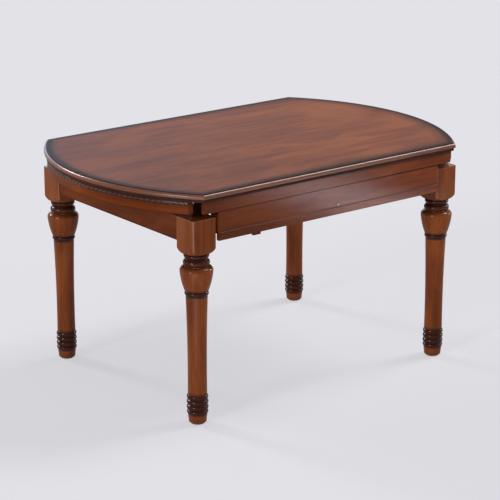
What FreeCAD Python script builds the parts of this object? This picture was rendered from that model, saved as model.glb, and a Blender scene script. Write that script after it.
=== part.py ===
import FreeCAD, Part
import math
import os

V = FreeCAD.Vector
os.makedirs("parts", exist_ok=True)

# Driving sizes of the table, in millimetres
top_height = 750.0          # floor to the upper face of the top
slab_half_width = 437.0     # half the width of the fixed middle slab
leaf_depth = 238.0          # how far a leaf stands out beyond the slab
board_thickness = 26.0      # slab and leaves alike
leg_side = 88.0             # side of the square block at the top of a leg
block_height = 112.0        # height of that block
leg_edge_inset = 21.0       # leg block, inward from the slab's long edge
apron_thickness = 20.0      # boards between the legs at the round ends
post_inset = 36.0           # turning post, inward from the slab's long edge
fascia_inset = 13.0         # fascia, inward from the slab's long edge
fascia_thickness = 13.0
fascia_height = 36.5
skirt_height = 41.0         # curved skirts under the rim
skirt_thickness = 14.0
side_face_height = 131.0    # fascia, panel and rail together, below the slab
rail_height = 26.0          # lower rail of a side panel

# Clearances
seam_gap = 0.6              # between slab and leaf when the leaf is out
running_gap = 0.3           # round surfaces that turn or slide in each other
side_gap = 1.0              # flat pieces of different moving units
swing_gap = 3.55            # slab corner to end apron, room for a leaf's corner to swing past
leg_top_gap = 2.0           # stored leaf above the legs
leg_panel_gap = 3.5         # end of a side panel to the leg
skirt_swing_gap = 5.6       # leaf skirt to the legs as it swings between them

# Levels worked out from the driving sizes
slab_under = top_height - board_thickness
lift_travel = board_thickness + 1.5            # raised by hand once the leaf is out
cam_rise = lift_travel                         # gained during the half turn
leaf_top_stored = top_height - lift_travel - cam_rise
leaf_under = leaf_top_stored - board_thickness
leg_top = leaf_under - leg_top_gap
skirt_bottom = slab_under - skirt_height
side_bottom = slab_under - side_face_height
fascia_top = slab_under - 2.5
fascia_bottom = fascia_top - fascia_height
panel_top = fascia_bottom - 1.5
rail_top = side_bottom + rail_height

# Plan positions worked out from the driving sizes
top_radius = slab_half_width + leaf_depth
past_rim = top_radius + board_thickness       # cutting blocks reach past the round rim
corner_x = math.sqrt(top_radius ** 2 - slab_half_width ** 2)      # where long edge and round end meet
post_y = -(slab_half_width - post_inset)
fascia_out = -(slab_half_width - fascia_inset)
fascia_back = fascia_out + fascia_thickness
panel_back = fascia_back - side_gap
fascia_half_length = corner_x - 9.45
apron_in = corner_x + swing_gap
apron_out = apron_in + apron_thickness
leg_half = leg_side / 2
leg_x = apron_out + 3.0 - leg_half
leg_y = slab_half_width - leg_edge_inset - leg_half
leg_inner_x = leg_x - leg_half
leg_inner_y = leg_y - leg_half
panel_half_length = leg_inner_x - leg_panel_gap

# Turning gear
post_radius = 6.7
rib_depth = 1.9
cam_radius = post_radius + rib_depth
cam_gap = 0.4                  # rib to hub, and cam pin to post
hub_wall = 4.0
hub_bore = cam_radius + cam_gap
hub_radius = hub_bore + hub_wall
bush_z = slab_under - 34.0
bush_height = 26.0
collar_z = bush_z - 7.0
frame_z = leaf_under - 43.0    # underside of the lifting frame at rest
frame_height = 24.0
guide_x = 150.0
guide_radius = 4.0
rod_leg_space = 63.0           # leaf rod to the leg
rod_reach = 75.0               # leaf rod inward from the post
rod_x = leg_inner_x - rod_leg_space
rod_y = post_y + rod_reach
rod_radius = 6.0
sleeve_wall = 3.2
eye_wall = 4.5
lift_bar_width = 12.0
guide_block_half = 13.0
lug_half = 12.0
screw_radius = 4.5
screw_height = 2.0
cam_pin_z = frame_z + 8.0
cam_pin_radius = 1.8

# Curved skirts
skirt_out = top_radius - 9.0
skirt_in = skirt_out - skirt_thickness
band_depth = 3.0
band_out = skirt_out + band_depth
band_height = 12.0
band_z = slab_under - band_height - 1.5
end_skirt_half_width = -fascia_back - 20.0

# Angles from the middle of the leaf: the skirt ends early on one side, and short of the legs on the other
leaf_skirt_from = -21.0
skirt_reach = leg_inner_x - skirt_swing_gap
leaf_skirt_to = math.degrees(math.acos(
    (band_out ** 2 + post_y ** 2 - skirt_reach ** 2) / (2 * band_out * -post_y)))


def box(x0, x1, y0, y1, z0, z1):
    return Part.makeBox(x1 - x0, y1 - y0, z1 - z0, V(x0, y0, z0))


def rod(x, y, z0, z1, radius):
    return Part.makeCylinder(radius, z1 - z0, V(x, y, z0))


def rod_along_y(x, y0, y1, z, radius):
    return Part.makeCylinder(radius, y1 - y0, V(x, y0, z), V(0, 1, 0))


def ring(x, y, z0, z1, inner, outer):
    return rod(x, y, z0, z1, outer).cut(rod(x, y, z0, z1, inner))


def turned(points, start=0.0, sweep=360.0):
    """Solid of revolution about Z from (radius, z) points; four numbers are an arc's middle and end."""
    edges = []
    here = None
    for p in points:
        if here is None:
            here = V(p[0], 0, p[1])
            first = here
            continue
        if len(p) == 4:
            there = V(p[2], 0, p[3])
            edges.append(Part.Arc(here, V(p[0], 0, p[1]), there).toShape())
        else:
            there = V(p[0], 0, p[1])
            edges.append(Part.LineSegment(here, there).toShape())
        here = there
    edges.append(Part.LineSegment(here, first).toShape())
    solid = Part.Face(Part.Wire(edges)).revolve(V(0, 0, 0), V(0, 0, 1), sweep)
    solid.rotate(V(0, 0, 0), V(0, 0, 1), start)
    return solid


def half_turn(shape):
    turned_shape = shape.copy()
    turned_shape.rotate(V(0, 0, 0), V(0, 0, 1), 180)
    return turned_shape


def placed(shape, x, y, z=0.0):
    moved = shape.copy()
    moved.translate(V(x, y, z))
    return moved


def group(shapes):
    return Part.makeCompound(shapes)


def save(name, shape):
    shape.exportStep("parts/%s.step" % name)


def save_both_sides(name, shape):
    save("front_" + name, shape)
    save("back_" + name, half_turn(shape))


def moulded_edge(edge):
    """Upper board edge seen in section, from the underside to the top face, at distance edge."""
    z = slab_under
    return [
        (edge - 6, z),
        (edge - 6, z + 4),
        (edge - 4, z + 9, edge, z + 11),
        (edge, z + 15),
        (edge - 2.2, z + 21.2, edge - bead_width, z + 24),
        (edge - bead_width, z + board_thickness),
    ]


# Top: a moulded disc shared by the slab and the leaves, turned in sectors that end beside the slab's mitred corners
bead_width = 8.0
mitre_radius = top_radius - bead_width
mitre_angle = math.degrees(math.asin((slab_half_width - bead_width) / mitre_radius)) - 0.2
disc_section = [(0, slab_under)] + moulded_edge(top_radius) + [(0, top_height)]
end_sector = turned(disc_section, -mitre_angle, 2 * mitre_angle)
side_sector = turned(disc_section, mitre_angle, 180 - 2 * mitre_angle)
disc = end_sector.fuse([side_sector, half_turn(end_sector), half_turn(side_sector)])


def moulded_slab(half_width, half_length):
    """Straight board with the moulded edge along both long sides."""
    edges = []
    section = moulded_edge(half_width)
    left = V(-half_length, 0, 0)
    here = left + V(0, section[0][0], section[0][1])
    first = here
    for p in section[1:]:
        there = left + V(0, p[-2], p[-1])
        if len(p) == 4:
            edges.append(Part.Arc(here, left + V(0, p[0], p[1]), there).toShape())
        else:
            edges.append(Part.LineSegment(here, there).toShape())
        here = there
    middle_top = left + V(0, 0, top_height)
    middle_under = left + V(0, 0, slab_under)
    edges.append(Part.LineSegment(here, middle_top).toShape())
    edges.append(Part.LineSegment(middle_top, middle_under).toShape())
    edges.append(Part.LineSegment(middle_under, first).toShape())
    half = Part.Face(Part.Wire(edges)).extrude(V(2 * half_length, 0, 0))
    return half.fuse(half_turn(half)).removeSplitter()


slab = disc.common(moulded_slab(slab_half_width, past_rim))

# Recesses let into the slab's underside for the pivot plates and the stiffening bars
plate_half_x = 48.0
plate_y0 = -(slab_half_width - 14.0)
plate_y1 = post_y + 46.0
plate_thickness = 6.0
bar_y = 150.0
bar_half_width = 18.0
bar_half_length = 430.0
bar_thickness = 6.0
plate = box(-plate_half_x, plate_half_x, plate_y0, plate_y1, slab_under, slab_under + plate_thickness)
bars = [
    box(-bar_half_length, bar_half_length, y - bar_half_width, y + bar_half_width,
        slab_under, slab_under + bar_thickness)
    for y in (-bar_y, bar_y)
]
for recess in [plate, half_turn(plate)] + bars:
    slab = slab.cut(recess)
save("table_top", slab)
save("top_stiffeners", group(bars))

# Legs: square block with shaped lower corners above a turned column
block_bottom = leg_top - block_height
turning_height = 141.0       # rings and bulb between block and shaft
shaft_top = block_bottom - turning_height
ankle_top = 95.0
shaft_middle = (shaft_top + ankle_top) / 2
foot_bottom = 3.0
glide_radius = 21.0
column = turned([
    (0, block_bottom + 4),
    (36, block_bottom + 4),
    (36, block_bottom - 3),
    (39.5, block_bottom - 9, 36, block_bottom - 15),
    (34.5, block_bottom - 18),
    (36, block_bottom - 21),
    (41.5, block_bottom - 30, 38, block_bottom - 39),
    (38, block_bottom - 42),
    (47.5, block_bottom - 46.5, 52, block_bottom - 56),
    (47.5, block_bottom - 87, 37, block_bottom - 121),
    (35, block_bottom - 123),
    (37.5, block_bottom - 129, 35, block_bottom - 135),
    (34, block_bottom - 137),
    (34, shaft_top),
    (30.2, shaft_middle, 30.4, ankle_top),
    (33.6, 88, 30, 81),
    (30, 79),
    (34, 71.5, 30, 64),
    (30, 62),
    (34, 54.5, 30, 47),
    (30, 45),
    (33.6, 39.5, 31, 34),
    (30.5, 32),
    (28, 9),
    (26.9, 5, glide_radius + 1.5, foot_bottom),
    (0, foot_bottom),
])
corner_shape = turned([
    (0, block_bottom),
    (41, block_bottom),
    (54, block_bottom + 6.5, 61, block_bottom + 19),
    (leg_side, block_bottom + 24),
    (leg_side, leg_top),
    (0, leg_top),
])
block = box(-leg_half, leg_half, -leg_half, leg_half, block_bottom, leg_top)
arrises = [e for e in block.Edges if abs(e.Vertexes[0].Z - e.Vertexes[-1].Z) > block_height / 2]
block = block.makeFillet(6.0, arrises).common(corner_shape)
leg = block.fuse(column).removeSplitter()

# End aprons: a board between the legs, its middle carried up to the slab, tenoned into the legs
apron_bottom = side_bottom - 3.0
apron_rise_half = leg_inner_y - 38.0
tenon_length = 24.0
apron = box(apron_in, apron_out, -leg_inner_y, leg_inner_y, apron_bottom, leg_top)
apron = apron.fuse(box(apron_in, apron_out, -apron_rise_half, apron_rise_half, leg_top, slab_under))
tenon = box(apron_in + 5, apron_out - 5, leg_inner_y, leg_inner_y + tenon_length,
            apron_bottom + 12, leg_top - 14)
apron = apron.fuse([tenon, tenon.mirror(V(0, 0, 0), V(0, 1, 0))]).removeSplitter()
save("end_apron_right", apron)
save("end_apron_left", half_turn(apron))

leg_names = {"leg_front_left": (-1, -1), "leg_front_right": (1, -1),
             "leg_back_left": (-1, 1), "leg_back_right": (1, 1)}
glides = []
for name, (sx, sy) in leg_names.items():
    apron_here = apron if sx > 0 else half_turn(apron)
    save(name, placed(leg, sx * leg_x, sy * leg_y).cut(apron_here))
    glides.append(rod(sx * leg_x, sy * leg_y, 0, foot_bottom, glide_radius))
save("foot_glides", group(glides))

# Corner braces glued between apron and leg
brace_size = 46.0
brace_z0 = apron_bottom + 14
brace_z1 = leg_top - 14
braces = []
for sx in (-1, 1):
    for sy in (-1, 1):
        corner = V(sx * apron_in, sy * leg_inner_y, brace_z0)
        along_x = corner + V(-sx * brace_size, 0, 0)
        along_y = corner + V(0, -sy * brace_size, 0)
        triangle = Part.Face(Part.makePolygon([corner, along_x, along_y, corner]))
        braces.append(triangle.extrude(V(0, 0, brace_z1 - brace_z0)))
save("corner_braces", group(braces))

# Angle brackets that hold the slab to the end aprons, with their screws
bracket_leg = 30.0
bracket_sheet = 4.0
bracket_half = 20.0
brackets = []
bracket_screws = []
for y in (-110.0, 110.0):
    upright = box(apron_in - bracket_sheet, apron_in, y - bracket_half, y + bracket_half,
                  slab_under - bracket_leg, slab_under)
    flat = box(apron_in - bracket_leg, apron_in - bracket_sheet, y - bracket_half, y + bracket_half,
               slab_under - bracket_sheet, slab_under)
    bracket = upright.fuse(flat).removeSplitter()
    for dy in (-bracket_half + 9, bracket_half - 9):
        sheet_under = slab_under - bracket_sheet
        head_x = apron_in - 0.6 * bracket_leg
        bracket_screws.append(rod(head_x, y + dy, sheet_under - screw_height, sheet_under, screw_radius))
        side_place = V(apron_in - bracket_sheet - screw_height, y + dy, slab_under - bracket_leg * 2 / 3)
        side_head = Part.makeCylinder(screw_radius, screw_height, side_place, V(1, 0, 0))
        bracket_screws.append(side_head)
    brackets.append(bracket)
brackets += [half_turn(b) for b in brackets]
bracket_screws += [half_turn(s) for s in bracket_screws]
save("slab_brackets", group(brackets))

# Curved end skirts, their carved bands and the cleats behind them
half_plane_right = box(0, past_rim, -end_skirt_half_width, end_skirt_half_width, 0, top_height)
end_skirt = ring(0, 0, skirt_bottom, slab_under, skirt_in, skirt_out).common(half_plane_right)
end_band = ring(0, 0, band_z, band_z + band_height, skirt_out, band_out).common(half_plane_right)
save("end_skirt_right", end_skirt)
save("end_skirt_left", half_turn(end_skirt))
save("end_band_right", end_band)
save("end_band_left", half_turn(end_band))

cleat_ring = ring(0, 0, slab_under - 24, slab_under, skirt_in - 20, skirt_in)
cleat_half = 32.0
cleats = []
for angle in (-20, 0, 20):
    window = box(0, past_rim, -cleat_half, cleat_half, 0, top_height)
    cleat = cleat_ring.common(window)
    cleat.rotate(V(0, 0, 0), V(0, 0, 1), angle)
    cleats += [cleat, half_turn(cleat)]
save("skirt_cleats", group(cleats))

# Turning post with its pivot plate and a helical rib that lifts the leaf during the half turn
post_bottom = frame_z - 14.0
post = rod(0, post_y, post_bottom, slab_under, post_radius)
rib_height = 3.0
rib_slope = math.atan(cam_rise / (math.pi * post_radius))
rib_top_start = cam_pin_z - (cam_pin_radius + running_gap) / math.cos(rib_slope)
rib_lead_in = 25.0
pitch = 2 * cam_rise
rib_turn = 180.0 + 2 * rib_lead_in
rib_z0 = rib_top_start - rib_height - pitch * rib_lead_in / 360.0
rib_path = Part.makeHelix(pitch, pitch * rib_turn / 360.0, post_radius)
rib_section = Part.makePolygon([
    V(post_radius - 1.0, 0, 0), V(cam_radius, 0, 0),
    V(cam_radius, 0, rib_height), V(post_radius - 1.0, 0, rib_height), V(post_radius - 1.0, 0, 0),
])
rib = Part.Wire(rib_path).makePipeShell([rib_section], True, True)
rib.rotate(V(0, 0, 0), V(0, 0, 1), 90.0 - rib_lead_in)
rib = placed(rib, 0, post_y, rib_z0)
post = post.fuse(rib)
save_both_sides("pivot_post", plate.fuse(post))
plate_screws = [
    rod(x, y, slab_under - 1.2, slab_under, 3.5)
    for x in (-plate_half_x + 12, plate_half_x - 12) for y in (plate_y0 + 10, plate_y1 - 12)
]
save("frame_screws", group(bracket_screws + plate_screws + [half_turn(s) for s in plate_screws]))
save_both_sides("post_collar", ring(0, post_y, collar_z, bush_z - running_gap, post_radius, hub_radius))

# Fascia unit: the fascia turns on the post through a bush, and carries guides and hangers
bush_top = bush_z + bush_height
bush = rod(0, post_y, bush_z, bush_top, hub_radius)
flange_half = 70.0
flange_plate = 5.0
flange = box(-flange_half, flange_half, fascia_back, fascia_back + flange_plate, bush_z, bush_top)
flange = flange.fuse(box(-hub_radius, hub_radius, fascia_back, post_y, bush_z, bush_top))
bush_bore = rod(0, post_y, bush_z, bush_top, post_radius + running_gap)
bush_bracket = bush.fuse(flange).removeSplitter().cut(bush_bore)
fascia = box(-fascia_half_length, fascia_half_length, fascia_out, fascia_back, fascia_bottom, fascia_top)
fascia = fascia.cut(rod(0, post_y, fascia_bottom, fascia_top, hub_radius))
fascia = fascia.cut(rod(0, post_y, fascia_bottom, bush_z, hub_radius + side_gap))
save_both_sides("fascia", fascia)

lug_z0 = bush_z + 4
lug_z1 = bush_z + 24
guide_y = post_y + 1.0
guide_bottom = frame_z - 24.0
lugs = []
guides = []
for x in (-guide_x, guide_x):
    lug = box(x - lug_half, x + lug_half, fascia_back, guide_y + lug_half - 2, lug_z0, lug_z1)
    lugs.append(lug.cut(rod(x, guide_y, lug_z0, lug_z1, guide_radius)))
    guides.append(rod(x, guide_y, guide_bottom, lug_z1, guide_radius))
save_both_sides("turning_brackets", group([bush_bracket] + lugs))
save_both_sides("guide_rods", group(guides))

# Hanger and pin of the side panel, and the keeper of its catch at the free end
pin_x = -(panel_half_length - 14.0)
pin_z = side_bottom + 36.0
pin_radius = 4.0
hanger = box(pin_x - 14, pin_x + 14, fascia_back, fascia_back + 4, pin_z - 16, fascia_top - 4)
pin = rod_along_y(pin_x, panel_back - 8, fascia_back + 4, pin_z, pin_radius)
hanger = hanger.cut(pin)
save_both_sides("panel_pin", pin)
catch_x = rod_x + 2.0
keeper = box(catch_x - 16, catch_x + 16, fascia_back, fascia_back + 14, fascia_top - 16, fascia_top - 4)
save_both_sides("panel_hangers", group([hanger, keeper]))

# Side panel with its lower rail: hangs from the pin and drops at its free end
panel = box(-panel_half_length, panel_half_length, fascia_out, panel_back, rail_top, panel_top)
hub_channel = box(-32, 32, post_y - hub_radius - side_gap, panel_back, side_bottom, panel_top)
pin_hole = rod_along_y(pin_x, panel_back - 8.5, panel_back, pin_z, pin_radius + running_gap)
panel = panel.cut(hub_channel).cut(pin_hole)
rail_out = fascia_out - 2.0
rail = box(-panel_half_length, panel_half_length, rail_out, panel_back, side_bottom, rail_top)
long_edges = [e for e in rail.Edges if e.Length > panel_half_length]
front_edges = [e for e in long_edges if abs(e.CenterOfMass.y - rail_out) < 0.01]
rail = rail.makeFillet(2.5, front_edges).cut(hub_channel)
save_both_sides("side_panel", panel)
save_both_sides("side_rail", rail)
pull_end_inset = 146.0
pull_x = -(panel_half_length - pull_end_inset)
pull = box(pull_x - 14, pull_x + 14, fascia_out, panel_back - 2, side_bottom - 7, side_bottom)
save_both_sides("rail_pull", pull)

knob_z = panel_top - 43.5
knob_neck = rod_along_y(catch_x, panel_back, panel_back + 5, knob_z, 4.0)
knob_head = rod_along_y(catch_x, panel_back + 5, panel_back + 13, knob_z, 8.0)
knob_head = knob_head.makeFillet(2.5, [knob_head.Edges[0], knob_head.Edges[2]])
save_both_sides("panel_knob", knob_neck.fuse(knob_head))
catch_foot = box(catch_x - 11, catch_x + 11, panel_back, panel_back + 3, panel_top - 24, panel_top - 2)
catch_hook = box(catch_x - 11, catch_x + 11, fascia_back + side_gap, fascia_back + side_gap + 3,
                 panel_top - 12, keeper.BoundBox.ZMin - 1)
save_both_sides("panel_catch", catch_foot.fuse(catch_hook).removeSplitter())
cap = rod_along_y(22.0, fascia_out - 1.5, fascia_out, rail_top + 6, 3.5)
save_both_sides("panel_cap", cap)

# Lifting frame: hub on the post, crossbar, and two arms with bushed eyes under the leaf
frame_top = frame_z + frame_height
bar_back = post_y + hub_radius + lift_bar_width
hub = rod(0, post_y, frame_z, frame_top, hub_radius)
neck = box(-hub_radius, hub_radius, post_y, bar_back, frame_z, frame_top)
eye_bore = rod_radius + running_gap + sleeve_wall
eye_radius = eye_bore + eye_wall
bar_end = rod_x + eye_radius
crossbar = box(-bar_end, bar_end, post_y + hub_radius, bar_back, frame_z, frame_top)
pieces = [neck, crossbar]
for x in (-guide_x, guide_x):
    pieces.append(box(x - guide_block_half, x + guide_block_half, guide_y - guide_block_half + 4, bar_back,
                      frame_z, frame_top))
for x in (-rod_x, rod_x):
    pieces.append(box(x - eye_radius, x + eye_radius, bar_back, rod_y, frame_z, frame_top))
    pieces.append(rod(x, rod_y, frame_z, frame_top, eye_radius))
lift_frame = hub.fuse(pieces).removeSplitter().cut(rod(0, post_y, frame_z, frame_top, hub_bore))
for x in (-guide_x, guide_x):
    lift_frame = lift_frame.cut(rod(x, guide_y, frame_z, frame_top, guide_radius + running_gap))
for x in (-rod_x, rod_x):
    lift_frame = lift_frame.cut(rod(x, rod_y, frame_z, frame_top, eye_bore))
cam_pin = rod_along_y(0, post_y + post_radius + cam_gap, post_y + hub_radius - 1, cam_pin_z, cam_pin_radius)
lift_frame = lift_frame.cut(cam_pin)
save_both_sides("lift_frame", lift_frame)
save_both_sides("cam_pin", cam_pin)
sleeves = []
for x in (-rod_x, rod_x):
    sleeves.append(ring(x, rod_y, frame_z - 4, frame_top, rod_radius + running_gap, eye_bore))
save_both_sides("guide_sleeves", group(sleeves))

# Leaf: modelled where it ends up when out, then brought to its stored place by a half turn about the post
def stored(shape):
    moved = shape.copy()
    moved.translate(V(0, 0, leaf_top_stored - top_height))
    moved.rotate(V(0, post_y, 0), V(0, 0, 1), 180)
    return moved


leaf_edge = -slab_half_width - seam_gap
leaf_out = disc.common(box(-past_rim, past_rim, -past_rim, leaf_edge, 0, 2 * top_height))
save_both_sides("leaf", stored(leaf_out))


def leaf_sector(shape):
    """Keeps the part of a ring under the leaf that carries the skirt."""
    a0 = math.radians(leaf_skirt_from - 90)
    a1 = math.radians(leaf_skirt_to - 90)
    far = 2 * top_radius
    corners = [V(0, 0, 0), V(far * math.cos(a0), far * math.sin(a0), 0),
               V(0, -1.4 * far, 0), V(far * math.cos(a1), far * math.sin(a1), 0), V(0, 0, 0)]
    return shape.common(Part.Face(Part.makePolygon(corners)).extrude(V(0, 0, top_height)))


leaf_skirt = leaf_sector(ring(0, 0, skirt_bottom, slab_under, skirt_in, skirt_out))
leaf_band = leaf_sector(ring(0, 0, band_z, band_z + band_height, skirt_out, band_out))
save_both_sides("leaf_skirt", stored(leaf_skirt))
save_both_sides("leaf_band", stored(leaf_band))

# Guide rods of the leaf, each on a flange under it, with their screws
rod_bottom = frame_top - 46.0
flange_sheet = 4.0
foot_half_x = 26.0
foot_half_y = 16.0
rods = []
flange_screws = []
for x in (-rod_x, rod_x):
    foot = box(x - foot_half_x, x + foot_half_x, rod_y - foot_half_y, rod_y + foot_half_y,
               leaf_under - flange_sheet, leaf_under)
    rods.append(foot.fuse(rod(x, rod_y, rod_bottom, leaf_under, rod_radius)).removeSplitter())
    flange_under = leaf_under - flange_sheet
    for dx in (-foot_half_x + 7, foot_half_x - 7):
        flange_screws.append(rod(x + dx, rod_y, flange_under - screw_height, flange_under, screw_radius))
save_both_sides("leaf_rods", group(rods))
save_both_sides("flange_screws", group(flange_screws))
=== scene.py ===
# %% [markdown]
# A round dining table that turns into a narrower one. The frame holds every solid piece of the table in
# its rest pose, with both leaves stored under the fixed slab. This lesson gives those pieces their wood,
# brass and steel, and makes the small things that repeat, such as the carved bands and the screw heads.

# %% Load the table
import math
import bmesh
import bpy
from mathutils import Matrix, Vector


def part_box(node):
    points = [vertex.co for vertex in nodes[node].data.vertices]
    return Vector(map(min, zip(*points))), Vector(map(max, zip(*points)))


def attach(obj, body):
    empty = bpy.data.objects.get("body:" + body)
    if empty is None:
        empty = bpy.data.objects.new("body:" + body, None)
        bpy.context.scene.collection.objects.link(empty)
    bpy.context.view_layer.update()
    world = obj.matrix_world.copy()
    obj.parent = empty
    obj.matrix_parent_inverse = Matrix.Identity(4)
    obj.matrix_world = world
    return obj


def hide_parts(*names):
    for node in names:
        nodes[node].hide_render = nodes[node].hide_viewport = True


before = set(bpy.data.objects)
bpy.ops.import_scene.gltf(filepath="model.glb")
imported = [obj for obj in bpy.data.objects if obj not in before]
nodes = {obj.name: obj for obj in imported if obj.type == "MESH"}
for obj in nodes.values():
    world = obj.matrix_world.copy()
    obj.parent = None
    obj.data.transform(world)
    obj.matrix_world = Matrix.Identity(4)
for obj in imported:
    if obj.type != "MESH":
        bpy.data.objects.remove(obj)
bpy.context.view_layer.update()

# %% [markdown]
# The camera stands where the photograph's viewing angle puts it: about 38 degrees round from the long
# side towards the left end, 17 degrees up, and far away, so that the lens is long and the legs stay
# nearly parallel. A camera could also be turned with angles; pointing it at the middle of the table with
# to_track_quat is easier to read.

# %% Camera
view_turn = math.radians(-38.0)
view_rise = math.radians(17.25)
view_distance = 6.6
aim = Vector((0.0, 0.0, 0.375))
towards_camera = Vector((
    math.sin(view_turn) * math.cos(view_rise),
    -math.cos(view_turn) * math.cos(view_rise),
    math.sin(view_rise),
))
camera = bpy.data.objects.new("camera", bpy.data.cameras.new("camera"))
camera.data.sensor_width = 36.0
camera.data.lens = 142.0
camera.location = aim + view_distance * towards_camera
camera.rotation_euler = (-towards_camera).to_track_quat("-Z", "Y").to_euler()
bpy.context.collection.objects.link(camera)
bpy.context.scene.camera = camera
print("camera at", [round(v, 2) for v in camera.location])

# %% [markdown]
# Everything that has nodes, a finish or a geometry tree, is built by the one function add_node: it makes
# a node, sets its settings first and its sockets after, because a setting can change which sockets there
# are. Mostly one outlet of the new node is all that the next one needs, so outlet gives just that.

# %% Node helper
def set_stops(ramp, stops):
    """Gives a colour ramp its stops, as pairs of position and colour."""
    while len(ramp.elements) < len(stops):
        ramp.elements.new(1.0)
    for element, (position, colour) in zip(ramp.elements, stops):
        element.position = position
        element.color = colour


def add_node(tree, kind, settings, values):
    """Adds one node. Settings are its options, values are numbers, colours or sockets for its inputs."""
    node = tree.nodes.new(kind)
    for name, setting in settings.items():
        if name == "stops":
            set_stops(node.color_ramp, setting)
        else:
            setattr(node, name, setting)
    for key, value in values.items():
        if isinstance(value, bpy.types.NodeSocket):
            tree.links.new(value, node.inputs[key])
        else:
            node.inputs[key].default_value = value
    return node


def outlet(tree, kind, settings, values, key=0):
    """Adds one node and gives one of its outlets, the first unless key says another."""
    return add_node(tree, kind, settings, values).outputs[key]


print("node helpers made:", add_node.__name__, "and", outlet.__name__)

# %% [markdown]
# A finish is easier to follow as a formula than as a net of boxes. A Wire stands for one outlet of a
# node, and sums and products of wires add the Math nodes by themselves.

# %% Wires
class Wire:
    """One outlet in a finish. Arithmetic on wires adds Math nodes."""

    def __init__(self, finish, socket):
        self.finish = finish
        self.socket = socket

    def maths(self, operation, *values):
        return self.finish.node("ShaderNodeMath", {"operation": operation}, dict(enumerate(values)))

    def __add__(self, other):
        return self.maths("ADD", self, other)

    def __sub__(self, other):
        return self.maths("SUBTRACT", self, other)

    def __rsub__(self, other):
        return self.maths("SUBTRACT", other, self)

    def __mul__(self, other):
        return self.maths("MULTIPLY", self, other)

    def __abs__(self):
        return self.maths("ABSOLUTE", self)

    __radd__ = __add__
    __rmul__ = __mul__

    def least(self, other):
        return self.maths("MINIMUM", self, other)

    def most(self, other):
        return self.maths("MAXIMUM", self, other)

    def root(self):
        return self.maths("SQRT", self)

    def angle(self, other):
        """The angle of the point whose height is this wire and whose reach is the other one."""
        return self.maths("ARCTAN2", self, other)


print("wires can be added, subtracted, multiplied and compared")

# %% [markdown]
# A Finish is a material while it is being built. It knows where a point lies on the table, draws noise,
# turns a number into a soft step and mixes colours. Colours go through Mix nodes, since a Math node would
# turn them grey.

# %% Finishes
class Finish:
    """A material while it is being built."""

    def __init__(self, name):
        self.material = bpy.data.materials.new(name)
        self.material.use_nodes = True
        self.tree = self.material.node_tree
        self.tree.nodes.clear()

    def node(self, kind, settings, values, key=0):
        sockets = {}
        for name, value in values.items():
            sockets[name] = value.socket if isinstance(value, Wire) else value
        return Wire(self, outlet(self.tree, kind, settings, sockets, key))

    def place(self):
        """Where a point lies on the table, in metres along X, Y and Z."""
        point = self.node("ShaderNodeTexCoord", {}, {}, "Object")
        split = self.node("ShaderNodeSeparateXYZ", {}, {0: point})
        return [Wire(self, socket) for socket in split.socket.node.outputs]

    def noise(self, point, cells, detail=2.0, distortion=0.0):
        """Soft random patches, with so many of them per metre along each axis of point."""
        vector = self.node("ShaderNodeCombineXYZ", {}, dict(enumerate(point)))
        scaled = self.node("ShaderNodeVectorMath", {"operation": "MULTIPLY"}, {0: vector, 1: cells})
        values = {"Vector": scaled, "Scale": 1.0, "Detail": detail, "Distortion": distortion}
        return self.node("ShaderNodeTexNoise", {}, values)

    def step(self, value, low, high):
        """0 below low, 1 above high and soft between; the other way round where low is the larger."""
        settings = {"interpolation_type": "SMOOTHSTEP"}
        return self.node("ShaderNodeMapRange", settings, {0: value, 1: low, 2: high})

    def mix(self, share, first, second):
        settings = {"data_type": "RGBA", "clamp_factor": True}
        return self.node("ShaderNodeMix", settings, {0: share, 6: first, 7: second}, 2)

    def surface(self, values):
        """Ends the finish in a Principled shader and gives back the material."""
        shader = self.node("ShaderNodeBsdfPrincipled", {}, values)
        add_node(self.tree, "ShaderNodeOutputMaterial", {}, {"Surface": shader.socket})
        return self.material


print("a finish can read its place, draw noise, step, mix and end in a surface")

# %% [markdown]
# Colours are written as a screen shows them, from 0 to 255. Shaders work with linear light, in which half
# as bright is half the number, so every colour is changed on its way in.

# %% Colours
def seen(red, green, blue):
    """A colour as a screen shows it, 0 to 255, in the linear values that shaders work with."""
    linear = []
    for channel in (red, green, blue):
        share = channel / 255
        linear.append(share / 12.92 if share <= 0.04045 else ((share + 0.055) / 1.055) ** 2.4)
    return (*linear, 1.0)


print("a screen's grey of 128 is", round(seen(128, 128, 128)[0], 3), "in linear light")

# %% [markdown]
# A board is sawn along the grain, and its pattern has to run the same way. A texture could be turned with
# a Mapping node; here the place of a point is only given in another order, with the grain's direction
# first.

# %% Straight grain
def along_x(finish):
    x, y, z = finish.place()
    return x, y, z


def along_y(finish):
    x, y, z = finish.place()
    return y, x, z


def along_z(finish):
    x, y, z = finish.place()
    return z, x, y


print("straight grains made:", along_x.__name__, along_y.__name__, along_z.__name__)

# %% [markdown]
# All the show wood is the same: red-brown stain under a half-gloss lacquer, with fine dark pores along
# the grain, broader streaks, and warm and dull patches where the stain took differently. An image could
# show that, but would have to be fitted to each board. Noise that is stretched along the grain works on
# every piece, so one function makes all of them. It takes the direction of the grain, a mask of dark
# glaze, which on several pieces is also painted shade, and a mask of worn edges, which are also made
# lighter as a painted highlight. The lacquer is the shader's coat, thicker on these worn edges. The stain
# under it mirrors little, since a pale room in its reflection would turn the wood grey.

# %% Wood
streak_cells = (3.0, 60.0, 60.0)      # cells of noise per metre, along the grain and across it
patch_cells = (3.0, 9.0, 9.0)
fibre_cells = (8.0, 210.0, 210.0)
pore_cells = (20.0, 620.0, 620.0)
pore_depth = 0.0003
stain_mirror = 0.10


def nowhere(finish):
    """A mask for wood that has no glazing and painted shade, or no worn edges and painted highlight."""
    return 0.0


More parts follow.
